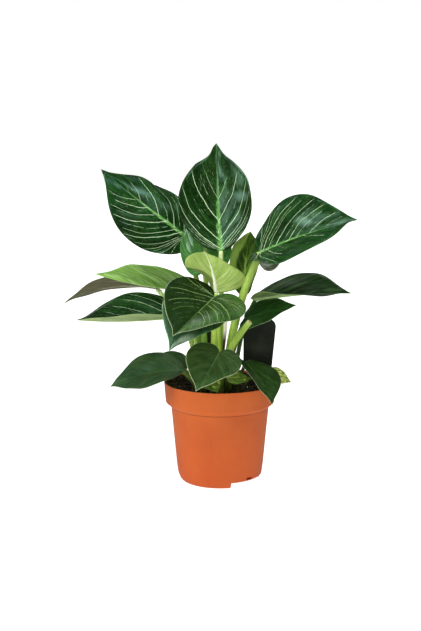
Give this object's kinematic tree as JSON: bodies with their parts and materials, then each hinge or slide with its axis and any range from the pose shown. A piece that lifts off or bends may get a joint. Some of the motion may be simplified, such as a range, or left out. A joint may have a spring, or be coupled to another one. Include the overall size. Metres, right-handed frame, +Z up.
{
  "type": "potted plant",
  "caption": "Philodendron houseplant with cream-striped, heart-shaped leaves on upright stalks, in a round terracotta-coloured plastic nursery pot with soil and a black plant label.",
  "frame": {"origin": "centre of the underside of the pot, in the plane that the pot stands on", "axes": "+Z up along the pot's axis; -Y is the front, towards the viewer; +X is to the viewer's right"},
  "size_m": [0.3143, 0.2268, 0.3581],
  "materials": {
    "terracotta_plastic": "satin injection-moulded polypropylene, terracotta orange",
    "potting_soil": "moist dark peat with fibres and a few white grains",
    "leaf": "waxy dark green leaf with cream side veins",
    "young_leaf": "soft pale yellow-green young leaf",
    "stalk": "smooth pale green leaf stalk",
    "label_plastic": "matte black plastic plant label, bare"
  },
  "bodies": {
    "root": {"pot": "terracotta_plastic", "potting_soil": "potting_soil", "crown": "stalk", "plant_label": "label_plastic", "cut_stalk": "stalk", "top_blade": "leaf", "top_stalk": "stalk", "upper_left_blade": "leaf", "upper_left_stalk": "stalk", "upper_right_blade": "leaf", "upper_right_stalk": "stalk", "young_blade": "young_leaf", "young_stalk": "stalk", "inner_blade": "leaf", "inner_stalk": "stalk", "unrolling_blade": "leaf", "unrolling_stalk": "stalk", "front_large_blade": "leaf", "front_large_stalk": "stalk", "front_glossy_blade": "leaf", "front_glossy_stalk": "stalk", "left_bright_blade": "leaf", "left_bright_stalk": "stalk", "left_far_blade": "leaf", "left_far_stalk": "stalk", "left_striped_blade": "leaf", "left_striped_stalk": "stalk", "low_left_blade": "leaf", "low_left_stalk": "stalk", "low_back_blade": "leaf", "low_back_stalk": "stalk", "low_front_blade": "leaf", "low_front_stalk": "stalk", "low_right_blade": "leaf", "low_right_stalk": "stalk", "right_high_blade": "leaf", "right_high_stalk": "stalk", "right_low_blade": "leaf", "right_low_stalk": "stalk", "small_right_blade": "leaf", "small_right_stalk": "stalk", "small_front_blade": "leaf", "small_front_stalk": "stalk", "small_inner_blade": "leaf", "small_inner_stalk": "stalk"}
  },
  "joints": []
}
